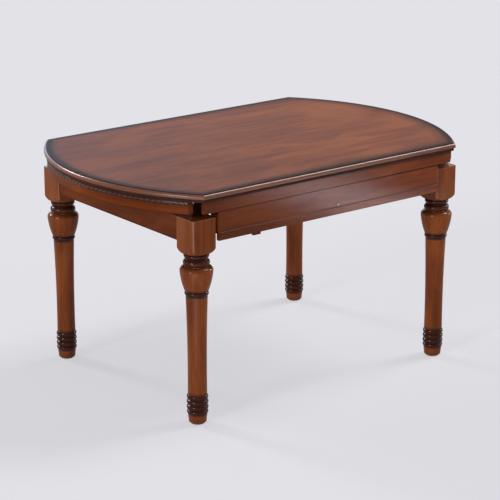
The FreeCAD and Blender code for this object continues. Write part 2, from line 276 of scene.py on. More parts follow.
def wood(name, tones, grain, gloss, lacquer=0.0, glaze_and_shade=nowhere, wear_and_highlight=nowhere):
    """grain gives a point whose first axis lies along the grain. The other masks give dark glazing that is
    partly painted shade, and worn edges that are partly a painted highlight.
    """
    finish = Finish(name)
    dark, middle, warm, glaze_and_shade_tone = tones
    point = grain(finish)
    streaks = finish.noise(point, streak_cells, detail=4.0, distortion=0.5)
    patches = finish.noise(point, patch_cells, detail=4.0, distortion=0.6)
    fibres = finish.noise(point, fibre_cells, detail=3.0, distortion=0.2)
    pores = finish.step(finish.noise(point, pore_cells), 0.55, 0.72)
    worn_and_highlit = wear_and_highlight(finish)
    colour = finish.mix(finish.step(streaks, 0.34, 0.64), dark, middle)
    colour = finish.mix(0.8 * finish.step(patches, 0.42, 0.66), colour, warm)
    colour = finish.mix(0.4 * finish.step(fibres, 0.48, 0.68), colour, dark)
    colour = finish.mix(0.4 * pores, colour, glaze_and_shade_tone)
    # dark glaze, which in several masks is also painted shade
    colour = finish.mix(glaze_and_shade(finish), colour, glaze_and_shade_tone)
    # painted highlight: worn edges are also made lighter in colour
    colour = finish.mix(0.3 * worn_and_highlit, colour, warm)
    values = {"Strength": 0.2, "Distance": pore_depth, "Height": 1 - pores}
    return finish.surface({
        "Base Color": colour,
        "Roughness": (gloss + 0.06 * pores + 0.08 * patches) * (1 - 0.5 * worn_and_highlit),
        "Normal": finish.node("ShaderNodeBump", {}, values),
        "Specular IOR Level": stain_mirror,
        "Coat Weight": lacquer + (1 - lacquer) * worn_and_highlit,
        "Coat Roughness": 0.06 + 0.60 * gloss,
    })


print("wood made of", len((streak_cells, patch_cells, fibre_cells, pore_cells)), "kinds of noise")

# %% [markdown]
# Most patterns on the wood follow the table's own outline: the dark border runs round the slab, and the
# grain of the end skirts goes with the rim. The sizes could be typed again in each finish, but then they
# would drift apart. They are measured on the pieces, once, and the finishes below take them from
# here. A leaf turns half round its post, so the centre of a stored leaf's rim lies as far beyond the post
# as the table's centre lies before it.

# %% Measure the top
collar_low, collar_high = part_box("front_post_collar")
slab_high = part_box("table_top")[1]
top_radius = slab_high[0]
slab_half_width = slab_high[1]
stored_centre_y = collar_low[1] + collar_high[1]
print("top radius", round(top_radius, 4), "slab half width", round(slab_half_width, 4))
print("a stored leaf's rim is centred at y", round(stored_centre_y, 4))

# %% [markdown]
# The top was rubbed darker along its rim, as hand-finished tables are: darkest in the quirk just inside
# the moulded bead and fading out over a few centimetres, while the bead itself is worn bright again, and
# its upper part is also made lighter as a painted highlight. Below the bead the edge stays dark, as
# painted shade under it. The masks use the distance to the nearest edge, worked out from the round rim
# and the straight sides. A stored leaf lies turned about its post, so its rim has a centre of its own.
# Along the leaf's straight side the border is narrow and the edge stays dark, so that the open table
# shows only a thin line there. Towards the left end the wood is made a little darker. A leaf swings half
# a turn to its open place, so while it is stored its darker end lies at the other end.

# %% Masks of the slab and the leaves
border_share = 0.46               # how much glaze each of the two borders has
wide_border = (0.080, 0.026)      # where it fades in and where it is full, in metres from the edge
quirk_border = (0.036, 0.018)
wiped_bead = (0.0082, 0.0066)
worn_lit_bead = (0.0075, 0.0045)
bead_level = 0.011                # the bead starts so far above the underside
bead_blend = 0.004                # and its finish comes in over this height
seam_narrowing = 2.5              # the border along a leaf's seam is that much narrower than round the rim
left_darkening_share = 0.28                 # how much darker the wood is made at the left end of the top
left_darkening_reach = (-0.35, 0.60)


def edge_distance(finish, centre_y, straight):
    x, y, z = finish.place()
    y = y - centre_y
    return (top_radius - (x * x + y * y).root()).least(straight(y))


def rim_glaze_and_shade(centre_y, straight, beaded, bead_z, end):
    def mask(finish):
        x, y, z = finish.place()
        edge = edge_distance(finish, centre_y, straight)
        wide = border_share * finish.step(edge, *wide_border)
        border = wide + border_share * finish.step(edge, *quirk_border)
        bead = finish.step(edge_distance(finish, centre_y, beaded), *wiped_bead)
        # painted shade: below the bead the edge keeps its dark glaze
        shade_under_bead = finish.step(z, bead_z, bead_z - bead_blend)
        # the wood is made darker towards the left end
        darker_left = left_darkening_share * finish.step(end * x, *left_darkening_reach)
        return darker_left.most(border * (1 - bead * (0.40 - 0.30 * shade_under_bead)))
    return mask


# painted highlight: the upper part of the bead is made lighter as well as worn
def bead_wear_and_highlight(centre_y, beaded, bead_z):
    def mask(finish):
        z = finish.place()[2]
        edge = edge_distance(finish, centre_y, beaded)
        above = finish.step(z, bead_z - bead_blend / 2, bead_z + bead_blend / 2)
        return finish.step(edge, *worn_lit_bead) * above
    return mask


def slab_sides(y):
    return slab_half_width - abs(y)


def leaf_seam(y):
    return seam_narrowing * (abs(y) - slab_half_width)


def out_of_reach(y):
    return top_radius


print("masks of the top made, the border is full", wide_border[1], "m from the edge")

# %% [markdown]
# The slab and the two leaves are one wood, and the masks are all that differs between them. The slab's
# bead is worn and made lighter, partly as a painted highlight, along its straight sides as well as its
# round ends, a leaf's only along its round rim.

# %% Finish of the slab and the leaves
top_tones = (seen(118, 65, 44), seen(141, 79, 51), seen(160, 93, 58), seen(28, 13, 11))
slab_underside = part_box("table_top")[0][2]
leaf_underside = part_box("front_leaf")[0][2]


def top_finish(name, centre_y, straight, beaded, underside, end):
    """straight gives the distance to the straight sides, beaded the same where such a side is worn and
    made lighter as a painted highlight. end is 1 or -1, for the side in X where the wood is made darker."""
    bead_z = underside + bead_level
    glaze_and_shade = rim_glaze_and_shade(centre_y, straight, beaded, bead_z, end)
    wear_and_highlight = bead_wear_and_highlight(centre_y, beaded, bead_z)
    return wood(name, top_tones, along_x, gloss=0.36, glaze_and_shade=glaze_and_shade, wear_and_highlight=wear_and_highlight)


def leaf_finish(name, centre_y):
    return top_finish(name, centre_y, leaf_seam, out_of_reach, underside=leaf_underside, end=1)


top_wood = top_finish("top_wood", 0.0, slab_sides, slab_sides, underside=slab_underside, end=-1)
front_leaf_wood = leaf_finish("front_leaf_wood", stored_centre_y)
back_leaf_wood = leaf_finish("back_leaf_wood", -stored_centre_y)
print("top finishes made:", top_wood.name, front_leaf_wood.name, back_leaf_wood.name)

# %% [markdown]
# The patterns on a leg follow its rings and its square block, so they need its axis and a few heights. The
# axis and the top come from the box round one leg, and the other legs mirror it. The block is typed,
# because the bulb below it is wider and hides it in the box.

# %% Measure a leg
leg_low, leg_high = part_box("leg_front_left")
leg_x = -(leg_low[0] + leg_high[0]) / 2
leg_y = -(leg_low[1] + leg_high[1]) / 2
leg_top = leg_high[2]
block_half = 0.044
block_height = 0.112
block_bottom = leg_top - block_height
print("leg at", round(leg_x, 4), round(leg_y, 4), "block bottom", round(block_bottom, 4))

# %% [markdown]
# On the legs the turned rings are darker: the neck under the block, the ring under the bulb and the
# ankle. This is dark glaze and, in these concave turnings, painted shade too. A ramp over the height gives
# these zones. Within them the hollows are darker than the crests, as painted shade, which the distance
# from the leg's axis tells. The upright corners of the block and its top edge are worn and made lighter,
# partly as a painted highlight.

# %% Finish of the legs
leg_tones = (seen(114, 53, 20), seen(133, 66, 26), seen(150, 80, 35), seen(42, 15, 8))
ring_radii = (0.042, 0.034)           # crest and hollow
worn_lit_corner = (0.009, 0.003)        # in from the block's side faces
corner_fade = 0.010                   # the worn and lighter corner comes in over this height
worn_lit_top = (0.005, 0.002)           # down from the block's top
ring_zones = [
    (0.000, 0.45), (0.026, 0.20),                                                               # foot
    (0.033, 0.90), (0.095, 0.90), (0.106, 0.22),                                                # ankle
    (0.300, 0.05), (block_bottom - 0.142, 0.12),                                                # shaft
    (block_bottom - 0.137, 0.97), (block_bottom - 0.122, 0.97),                                 # ring
    (block_bottom - 0.112, 0.16), (block_bottom - 0.056, 0.05), (block_bottom - 0.042, 0.55),   # bulb
    (block_bottom - 0.038, 0.97), (block_bottom - 0.001, 0.97),                                 # neck
    (block_bottom + 0.005, 0.08), (leg_top, 0.02),                                              # block
]


def ring_glaze_and_shade(finish):
    x, y, z = finish.place()
    stops = [(height / leg_top, (amount, amount, amount, 1.0)) for height, amount in ring_zones]
    zone = finish.node("ShaderNodeValToRGB", {"stops": stops}, {0: z * (1 / leg_top)})
    across = abs(x) - leg_x
    along = abs(y) - leg_y
    # painted shade: the hollows are darker than the crests
    hollow_shade = finish.step((across * across + along * along).root(), *ring_radii)
    return zone * (0.80 + 0.20 * hollow_shade)


# painted highlight: the block's upright corners and top edge are made lighter as well as worn
def corner_wear_and_highlight(finish):
    x, y, z = finish.place()
    inset = block_half - abs(abs(x) - leg_x).least(abs(abs(y) - leg_y))
    on_block = finish.step(z, block_bottom, block_bottom + corner_fade)
    corner = finish.step(inset, *worn_lit_corner) * on_block
    return corner.most(finish.step(leg_top - z, *worn_lit_top))


leg_wood = wood("leg_wood", leg_tones, along_z, gloss=0.10, lacquer=0.28, glaze_and_shade=ring_glaze_and_shade, wear_and_highlight=corner_wear_and_highlight)
print("leg finish made,", len(ring_zones), "heights in its ramp")

# %% [markdown]
# The curved skirts are bent boards. At the ends of the table their grain follows the curve: angle times
# radius takes the place of X. The short skirt of a leaf takes its angle about a point on the far side of
# the table, so its grain runs at a slant to the curve. Painted shade darkens the corner under the carved
# band, and dark glaze lies along the lower edge.

# %% Finish of the skirts
skirt_tones = (seen(100, 42, 8), seen(118, 54, 14), seen(132, 65, 21), seen(38, 14, 7))


def round_the_ends(finish):
    """Grain along the rim of the fixed ends."""
    x, y, z = finish.place()
    return y.angle(x) * top_radius, (x * x + y * y).root(), z


def slanted_on_a_leaf(finish):
    """Grain at a slant to the rim of a leaf."""
    x, y, z = finish.place()
    reach = abs(y) - stored_centre_y
    return x.angle(reach) * top_radius, (x * x + reach * reach).root(), z


def edge_glaze_and_shade(node, upper_depth, lower_depth):
    """Dark glazing along the lower edge of an upright board, a dark joint and painted shade along its
    upper.
    """
    low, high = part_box(node)

    def mask(finish):
        z = finish.place()[2]
        # painted shade and a dark joint along the upper edge, dark glaze along the lower
        upper_shade = finish.step(z, high[2] - upper_depth, high[2] - 0.3 * upper_depth)
        lower = finish.step(z, low[2] + lower_depth, low[2])
        return 0.55 * upper_shade.most(lower)
    return mask


def skirt_finish(name, node, grain):
    return wood(name, skirt_tones, grain, gloss=0.30, glaze_and_shade=edge_glaze_and_shade(node, 0.018, 0.004))


end_skirt_wood = skirt_finish("end_skirt_wood", "end_skirt_left", round_the_ends)
leaf_skirt_wood = skirt_finish("leaf_skirt_wood", "front_leaf_skirt", slanted_on_a_leaf)
print("skirt finishes made:", end_skirt_wood.name, leaf_skirt_wood.name)

# %% [markdown]
# The long sides and the aprons are flat boards with a little dark glaze along their lower edges; along
# their upper edges the darkening is a dark joint and painted shade under what overhangs them. The boards
# of the long sides have a thin coat and painted shade that grows towards their left end too, and the
# side panels are the glossiest wood of the table. Wood that nobody sees, such as the braces, is only oiled.

# %% Finish of the boards
panel_tones = (seen(111, 47, 10), seen(131, 59, 16), seen(150, 72, 23), seen(34, 13, 7))
apron_tones = (seen(88, 36, 7), seen(104, 46, 11), seen(120, 57, 17), seen(34, 13, 7))
inner_tones = (seen(120, 84, 54), seen(150, 110, 74), seen(164, 124, 86), seen(90, 60, 38))
board_left_shade = 0.42         # how much painted shade darkens the left end of a long side
fascia_low, fascia_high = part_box("front_fascia")


def add_left_shade(glaze_and_shade):
    """Adds painted shade that grows towards the left end of a long side."""
    def mask(finish):
        x = finish.place()[0]
        return glaze_and_shade(finish).most(board_left_shade * finish.step(x, fascia_high[0], fascia_low[0]))
    return mask


def long_side_finish(name, node, upper_depth, lower_depth, gloss):
    glaze_and_shade = add_left_shade(edge_glaze_and_shade(node, upper_depth, lower_depth))
    return wood(name, panel_tones, along_x, gloss, lacquer=0.35, glaze_and_shade=glaze_and_shade)


fascia_wood = long_side_finish("fascia_wood", "front_fascia", 0.010, 0.004, gloss=0.12)
panel_wood = long_side_finish("panel_wood", "front_side_panel", 0.005, 0.007, gloss=0.08)
rail_wood = long_side_finish("rail_wood", "front_side_rail", 0.005, 0.003, gloss=0.12)
apron_glaze_and_shade = edge_glaze_and_shade("end_apron_left", 0.060, 0.006)
apron_wood = wood("apron_wood", apron_tones, along_y, gloss=0.30, glaze_and_shade=apron_glaze_and_shade)
inner_wood = wood("inner_wood", inner_tones, along_y, gloss=0.55)
for made in (fascia_wood, panel_wood, rail_wood, apron_wood, inner_wood):
    print("made", made.name)

# %% [markdown]
# The small pieces are of five kinds: brass on what is touched or turns, bright steel on what slides,
# black steel on what carries, dark plastic under the feet and one ivory cap on each side panel. Real
# metal is never even: polish leaves fine scratches, handling leaves duller patches, and black paint has a
# slight orange peel. The same patches and scratches suit the plastic, so one function makes all five.

# %% Metal and plastic
wear_cells = (34.0, 34.0, 34.0)          # cells of noise per metre along X, Y and Z
polished = (900.0, 900.0, 120.0)
drawn = (900.0, 900.0, 60.0)
painted = (420.0, 420.0, 420.0)
moulded = (300.0, 300.0, 300.0)
scratch_depth = 0.0002


def handled(name, bright, dull, metallic, gloss, scratch_cells):
    """A smooth finish with duller patches and fine scratches."""
    finish = Finish(name)
    point = finish.place()
    wear = finish.step(finish.noise(point, wear_cells, detail=3.0), 0.35, 0.70)
    scratches = finish.noise(point, scratch_cells)
    values = {"Strength": 0.15, "Distance": scratch_depth, "Height": scratches}
    return finish.surface({
        "Base Color": finish.mix(wear, bright, dull),
        "Metallic": metallic,
        "Roughness": gloss + 0.16 * wear + 0.10 * scratches,
        "Normal": finish.node("ShaderNodeBump", {}, values),
    })


brass = handled("brass", seen(214, 178, 104), seen(168, 128, 66), 1.0, 0.16, polished)
bright_steel = handled("bright_steel", seen(205, 204, 200), seen(160, 158, 154), 1.0, 0.20, drawn)
black_steel = handled("black_steel", seen(40, 38, 36), seen(58, 55, 52), 0.0, 0.38, painted)
glide_plastic = handled("glide_plastic", seen(44, 36, 30), seen(60, 50, 42), 0.0, 0.52, moulded)
cap_plastic = handled("cap_plastic", seen(208, 194, 180), seen(186, 170, 154), 0.0, 0.40, moulded)
for made in (brass, bright_steel, black_steel, glide_plastic, cap_plastic):
    print("made", made.name)

# %% [markdown]
# Each piece of the frame now gets its finish. The pieces of one side have the same names as those of the
# other, so the list goes by the end of the name.

# %% Dress the pieces
finishes = {
    "table_top": top_wood, "front_leaf": front_leaf_wood, "back_leaf": back_leaf_wood,
    "leg_front_left": leg_wood, "leg_front_right": leg_wood,
    "leg_back_left": leg_wood, "leg_back_right": leg_wood,
    "end_skirt_left": end_skirt_wood, "end_skirt_right": end_skirt_wood,
    "end_apron_left": apron_wood, "end_apron_right": apron_wood,
    "corner_braces": inner_wood, "skirt_cleats": inner_wood,
    "foot_glides": glide_plastic, "top_stiffeners": black_steel, "slab_brackets": bright_steel,
}
side_finishes = {
    "leaf_skirt": leaf_skirt_wood, "fascia": fascia_wood, "side_panel": panel_wood, "side_rail": rail_wood,
    "rail_pull": rail_wood, "panel_knob": brass, "panel_catch": brass, "panel_cap": cap_plastic,
    "panel_hangers": brass, "panel_pin": bright_steel, "turning_brackets": brass,
    "guide_rods": bright_steel, "guide_sleeves": brass, "cam_pin": bright_steel, "lift_frame": black_steel,
    "leaf_rods": brass, "pivot_post": bright_steel, "post_collar": brass,
}
for side in ("front", "back"):
    for ending, material in side_finishes.items():
        finishes[side + "_" + ending] = material
for name, material in finishes.items():
    for material_slot in nodes[name].material_slots:
        material_slot.material = material
print("dressed", len(finishes), "of", len(nodes), "pieces; left:", sorted(set(nodes) - set(finishes)))

# %% [markdown]
# Under the rim runs a narrow carved band: a slanting leaf and a bead, over and over, between two fine
# ribs. Modelling one long strip would fix its length for good. Here one leaf and one bead are modelled,
# and a geometry tree lays them along an arc of any radius and length. The leaf is a small grid that is
# pushed up in the middle, with a groove for its midrib, and its underside is closed, so that it is a
# small solid.

# %% One leaf and bead of the carving
carving_pitch = 0.020
carving_depth = 0.0024
carving_foot = 0.0002         # how far its underside lies inside the middle of the band's ground
leaf_half_length = 0.0068
leaf_half_width = 0.0042
leaf_slant = 0.0030
leaf_shift = -0.0020          # along the band, from the middle of a step
bead_shift = 0.0076
bead_radius = 0.0023
weld_distance = 1e-6          # points nearer than this become one


def leaf_point(u, v):
    half_width = leaf_half_width * (1.01 - u * u) ** 0.6
    midrib = 1 - 0.55 * math.exp(-(v / 0.28) ** 2)
    rise = carving_depth * (1 - v * v) ** 0.5 * (1 - u ** 4) ** 0.5 * midrib
    return (leaf_half_length * u + leaf_shift, carving_foot - rise, v * half_width + leaf_slant * u)


def bead_point(u, v):
    reach = math.sqrt(1 - u * u)
    rise = carving_depth * reach * math.sqrt(1 - v * v)
    return (bead_shift + bead_radius * u, carving_foot - rise, bead_radius * v * reach)


def add_blister(target, columns, rows, shape):
    """Adds a grid of faces to a mesh under construction; shape gives the place for u and v from -1 to 1."""
    grid = []
    for column in range(columns + 1):
        line = []
        for row in range(rows + 1):
            line.append(target.verts.new(shape(2 * column / columns - 1, 2 * row / rows - 1)))
        grid.append(line)
    for near, far in zip(grid, grid[1:]):
        for row in range(rows):
            target.faces.new((near[row], far[row], far[row + 1], near[row + 1]))


carving_mesh = bmesh.new()
add_blister(carving_mesh, columns=8, rows=4, shape=leaf_point)
add_blister(carving_mesh, columns=4, rows=4, shape=bead_point)
bmesh.ops.remove_doubles(carving_mesh, verts=carving_mesh.verts, dist=weld_distance)
bmesh.ops.holes_fill(carving_mesh, edges=carving_mesh.edges, sides=0)
bmesh.ops.recalc_face_normals(carving_mesh, faces=carving_mesh.faces)
carving_data = bpy.data.meshes.new("carving")
carving_mesh.to_mesh(carving_data)
carving_mesh.free()
carving = bpy.data.objects.new("carving", carving_data)
print("one leaf and bead:", len(carving_data.polygons), "faces")

# %% [markdown]
# A geometry tree has inputs like a function has arguments. Every tree here starts with named inputs and
# ends in the same way: its pieces are joined, instances become real meshes, and the material is set.
# Running a tree is the same each time too: a carrier object holds it as a modifier, and the result is
# kept as a plain mesh, because only plain meshes leave Blender unchanged.

# %% Start, close and run a geometry tree
def new_tree(name, inputs):
    """An empty geometry tree with named inputs. Gives the tree, the inputs' outlets and identifiers."""
    tree = bpy.data.node_groups.new(name, "GeometryNodeTree")
    keys = {}
    for label, kind in inputs.items():
        keys[label] = tree.interface.new_socket(label, in_out="INPUT", socket_type=kind).identifier
    tree.interface.new_socket("Geometry", in_out="OUTPUT", socket_type="NodeSocketGeometry")
    return tree, add_node(tree, "NodeGroupInput", {}, {}).outputs, keys


def close_tree(tree, pieces, material):
    """Joins the pieces, realizes the instances, shades them smooth and gives them their material."""
    joined = add_node(tree, "GeometryNodeJoinGeometry", {}, {})
    for piece in pieces:
        tree.links.new(piece, joined.inputs[0])
    solid = outlet(tree, "GeometryNodeRealizeInstances", {}, {0: joined.outputs[0]})
    smooth = outlet(tree, "GeometryNodeSetShadeSmooth", {}, {"Geometry": solid, "Shade Smooth": True})
    dressed = outlet(tree, "GeometryNodeSetMaterial", {}, {"Geometry": smooth, "Material": material})
    add_node(tree, "NodeGroupOutput", {}, {0: dressed})


def run_tree(name, base, tree, keys, values):
    """Runs a geometry tree on a mesh and keeps the result as a plain mesh object."""
    carrier = bpy.data.objects.new(name, base)
    bpy.context.collection.objects.link(carrier)
    modifier = carrier.modifiers.new(name, "NODES")
    modifier.node_group = tree
    for label, value in values.items():
        modifier[keys[label]] = value
    evaluated = carrier.evaluated_get(bpy.context.evaluated_depsgraph_get())
    made = bpy.data.meshes.new_from_object(evaluated)
    bpy.data.objects.remove(carrier)
    piece = bpy.data.objects.new(name, made)
    bpy.context.collection.objects.link(piece)
    return piece


print("tree helpers made:", new_tree.__name__, close_tree.__name__, run_tree.__name__)

# %% [markdown]
# The tree for a carved band takes the radius, the place and the length of its arc. It first makes the
# flat ground of the band and a rib along its upper and lower edge: three sections, each swept along the
# arc.

# %% The tree for a carved band, ground and ribs
ground_thickness = 0.0012
rib_radius = 0.0009
rib_shifts = (-0.44, 0.44)      # from the middle of the band, in heights of the band
arc_points = 120
band_tree, band_inputs, band_keys = new_tree("carved_band", {
    "Radius": "NodeSocketFloat", "Start": "NodeSocketFloat", "Sweep": "NodeSocketFloat",
    "Centre": "NodeSocketVector", "Height": "NodeSocketFloat", "Pitch": "NodeSocketFloat",
    "Carving": "NodeSocketObject", "Finish": "NodeSocketMaterial",
})


def band_node(kind, settings, values, key=0):
    return outlet(band_tree, kind, settings, values, key)


def band_arc(start, sweep):
    """An arc of the band's radius round its centre."""
    arc = band_node("GeometryNodeCurveArc", {"mode": "RADIUS"}, {
        "Resolution": arc_points, "Radius": band_inputs["Radius"],
        "Start Angle": start, "Sweep Angle": sweep})
    return band_node("GeometryNodeTransform", {}, {0: arc, "Translation": band_inputs["Centre"]})


def swept(line, section):
    values = {"Curve": line, "Profile Curve": section, "Fill Caps": True}
    return band_node("GeometryNodeCurveToMesh", {}, values)


band_line = band_arc(band_inputs["Start"], band_inputs["Sweep"])
ground_section = band_node("GeometryNodeCurvePrimitiveQuadrilateral", {"mode": "RECTANGLE"},
                           {"Width": ground_thickness, "Height": band_inputs["Height"]})
rib_section = band_node("GeometryNodeCurvePrimitiveCircle", {"mode": "RADIUS"},
                        {"Resolution": 8, "Radius": rib_radius})
band_pieces = [swept(band_line, ground_section)]
for rib_shift in rib_shifts:
    rise = band_node("ShaderNodeMath", {"operation": "MULTIPLY"}, {0: band_inputs["Height"], 1: rib_shift})
    shift = band_node("ShaderNodeCombineXYZ", {}, {"Z": rise})
    rib_line = band_node("GeometryNodeTransform", {}, {0: band_line, "Translation": shift})
    band_pieces.append(swept(rib_line, rib_section))
print("tree for a carved band so far:", len(band_tree.nodes), "nodes")

# %% [markdown]
# Then the carving is set at equal steps, each copy turned to follow the arc. It starts and ends about
# half a step from the ends of the band, so it stands on an arc that is a little shorter.

# %% The tree for a carved band, carving
end_margin = 0.55      # in steps of the carving
step_angle = band_node("ShaderNodeMath", {"operation": "DIVIDE"},
                       {0: band_inputs["Pitch"], 1: band_inputs["Radius"]})
carving_start = band_node("ShaderNodeMath", {"operation": "MULTIPLY_ADD"},
                          {0: step_angle, 1: end_margin, 2: band_inputs["Start"]})
carving_sweep = band_node("ShaderNodeMath", {"operation": "MULTIPLY_ADD"},
                          {0: step_angle, 1: -2 * end_margin, 2: band_inputs["Sweep"]})
steps = band_node("GeometryNodeResampleCurve", {"mode": "LENGTH"},
                  {"Curve": band_arc(carving_start, carving_sweep), "Length": band_inputs["Pitch"]})
tangent = band_node("GeometryNodeInputTangent", {}, {})
turn = band_node("FunctionNodeAlignRotationToVector", {"axis": "X", "pivot_axis": "Z"}, {"Vector": tangent})
one_carving = band_node("GeometryNodeObjectInfo", {}, {"Object": band_inputs["Carving"]}, "Geometry")
band_pieces.append(band_node("GeometryNodeInstanceOnPoints", {},
                             {"Points": steps, "Instance": one_carving, "Rotation": turn}))
close_tree(band_tree, band_pieces, band_inputs["Finish"])
print("tree for a carved band:", len(band_tree.nodes), "nodes")

# %% [markdown]
# The finish of the bands is darkest on the ground and lightest on the crests: dark glaze and painted
# shade on the ground, and light tones that paint a highlight on the crests. How far a point lies from the
# centre of the rim tells which it is.

# %% Finish of the carved bands
# painted highlight: the tones are light, so that the crests look lit
band_tones = (seen(128, 76, 56), seen(158, 104, 84), seen(172, 118, 98), seen(44, 19, 12))
ground_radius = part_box("end_skirt_right")[1][0] + ground_thickness / 2
crest_height = 0.0023      # from the middle of the ground to just past the crests
shaded_ground_lit_crest = (ground_radius + crest_height, ground_radius + ground_thickness / 2)


def ground_shade_and_crest_highlight(centre_y):
    def mask(finish):
        x, y, z = finish.place()
        y = abs(y) + centre_y
        return 0.95 * finish.step((x * x + y * y).root(), *shaded_ground_lit_crest)
    return mask


def band_finish(name, grain, centre_y):
    return wood(name, band_tones, grain, gloss=0.22, lacquer=0.5, glaze_and_shade=ground_shade_and_crest_highlight(centre_y))


end_band_wood = band_finish("end_band_wood", round_the_ends, 0.0)
leaf_band_wood = band_finish("leaf_band_wood", slanted_on_a_leaf, stored_centre_y)
print("band finishes made, ground at a radius of", round(ground_radius, 4))

# %% [markdown]
# The four bands take their place from the plain strips in the frame, which they replace. A strip's box
# gives its height and the angles at which it starts and ends.

# %% Carved bands
band_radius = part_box("end_band_right")[1][0]
end_angle = math.asin(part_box("end_band_right")[1][1] / band_radius)
leaf_band_low, leaf_band_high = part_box("front_leaf_band")
leaf_start = math.acos(leaf_band_high[0] / band_radius)
leaf_sweep = math.acos(leaf_band_low[0] / band_radius) - leaf_start
left_start = math.pi - end_angle
back_start = math.pi + leaf_start


def carved_band(node, body, centre_y, start, sweep, material):
    low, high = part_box(node)
    piece = run_tree("carved_" + node, bpy.data.meshes.new(node), band_tree, band_keys, {
        "Radius": ground_radius, "Start": start, "Sweep": sweep,
        "Centre": (0.0, centre_y, (low[2] + high[2]) / 2), "Height": high[2] - low[2],
        "Pitch": carving_pitch, "Carving": carving, "Finish": material,
    })
    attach(piece, body)
    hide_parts(node)
    print(piece.name, len(piece.data.polygons), "faces,", round(math.degrees(sweep), 1), "degrees")


carved_band("end_band_right", "frame", 0.0, -end_angle, 2 * end_angle, end_band_wood)
carved_band("end_band_left", "frame", 0.0, left_start, 2 * end_angle, end_band_wood)
carved_band("front_leaf_band", "front_leaf_unit", stored_centre_y, leaf_start, leaf_sweep, leaf_band_wood)
carved_band("back_leaf_band", "back_leaf_unit", -stored_centre_y, back_start, leaf_sweep, leaf_band_wood)
bpy.data.objects.remove(carving)

# %% [markdown]
# The screws in the frame are plain discs. Real ones have a domed head with a slot. A second tree sets one
# such head on each disc: the head is made once with a radius and height of one, and every place brings
# its own direction and size as attributes of its point.

# %% The tree for screw heads
slot_size = (3.0, 0.28, 1.0)      # length, width and twice the depth, in radii of the head
screw_tree, screw_inputs, screw_keys = new_tree("screw_heads", {
    "Places": "NodeSocketGeometry", "Slot": "NodeSocketVector", "Finish": "NodeSocketMaterial",
})


def screw_node(kind, settings, values):
    return outlet(screw_tree, kind, settings, values)


def point_vector(name):
    """Reads a vector that every place brings along."""
    return screw_node("GeometryNodeInputNamedAttribute", {"data_type": "FLOAT_VECTOR"}, {"Name": name})


dome = screw_node("GeometryNodeMeshUVSphere", {}, {"Segments": 16, "Rings": 8, "Radius": 1.0})
slot_block = screw_node("GeometryNodeMeshCube", {}, {"Size": screw_inputs["Slot"]})
slot_cut = screw_node("GeometryNodeTransform", {}, {0: slot_block, "Translation": (0.0, 0.0, 1.0)})
head = screw_node("GeometryNodeMeshBoolean", {"operation": "DIFFERENCE"}, {0: dome, 1: slot_cut})
tilt = screw_node("FunctionNodeAlignRotationToVector", {"axis": "Z"}, {"Vector": point_vector("facing")})
heads = screw_node("GeometryNodeInstanceOnPoints", {}, {
    "Points": screw_inputs["Places"], "Instance": head, "Rotation": tilt, "Scale": point_vector("size")})
close_tree(screw_tree, [heads], screw_inputs["Finish"])
print("tree for screw heads:", len(screw_tree.nodes), "nodes")

# %% [markdown]
# A piece that holds many screws is one mesh of separate lumps. Walking from point to point along the
# edges finds the lumps.

# %% Find the screws
def lumps(node):
    """Low and high corner of each separate solid in a piece."""
    mesh = bmesh.new()
    mesh.from_mesh(nodes[node].data)
    bmesh.ops.remove_doubles(mesh, verts=mesh.verts, dist=weld_distance)
    left = set(mesh.verts)
    found = []
    while left:
        waiting = [left.pop()]
        lump = []
        while waiting:
            vert = waiting.pop()
            lump.append(vert.co.copy())
            for edge in vert.link_edges:
                other = edge.other_vert(vert)
                if other in left:
                    left.remove(other)
                    waiting.append(other)
        low = Vector([min(point[axis] for point in lump) for axis in range(3)])
        high = Vector([max(point[axis] for point in lump) for axis in range(3)])
        found.append((low, high))
    mesh.free()
    return sorted(found, key=lambda corners: tuple(corners[0]))


print("screws in the fixed frame:", len(lumps("frame_screws")))

# %% [markdown]
# The thin direction of a lump is the direction of its screw. Heads on level plates look down, because all
# of these plates are fixed from below, and heads on upright ones look towards the middle of the table.

# %% Screw heads
def screw_heads(node, body):
    places = []
    directions = []
    sizes = []
    for low, high in lumps(node):
        size = high - low
        middle = (low + high) / 2
        axis = min(range(3), key=lambda index: size[index])
        direction = Vector((0.0, 0.0, 0.0))
        direction[axis] = -1.0 if axis == 2 or middle[axis] > 0 else 1.0
        places.append(middle - direction * size[axis] / 2)
        directions.append(direction)
        sizes.append((max(size) / 2, max(size) / 2, size[axis]))
    base = bpy.data.meshes.new(node)
    base.from_pydata(places, [], [])
    for name, values in (("facing", directions), ("size", sizes)):
        attribute = base.attributes.new(name, "FLOAT_VECTOR", "POINT")
        for entry, value in zip(attribute.data, values):
            entry.vector = value
    inputs = {"Slot": slot_size, "Finish": bright_steel}
    piece = run_tree("slotted_" + node, base, screw_tree, screw_keys, inputs)
    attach(piece, body)
    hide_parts(node)
    print(piece.name, len(places), "heads,", len(piece.data.polygons), "faces")


screw_heads("frame_screws", "frame")
screw_heads("front_flange_screws", "front_leaf_unit")
screw_heads("back_flange_screws", "back_leaf_unit")

# %% [markdown]
# The table stands on one pale sheet in an even studio. Lit by the lamps alone the sheet would darken a
# lot under the table. For rays from the camera it therefore glows a little in its own colour, so its
# shadow is as faint as in a bright photo studio. Upright lacquered wood mirrors the sheet, so what a
# reflection finds there is laid out as well, glowing only for reflections: a plain floor, a lighter
# stretch in front whose painted reflection draws a soft streak down the legs, and a bright card to the
# right, whose painted reflection is the sheen on the side panel. Light Path nodes tell the kinds of rays
# apart.

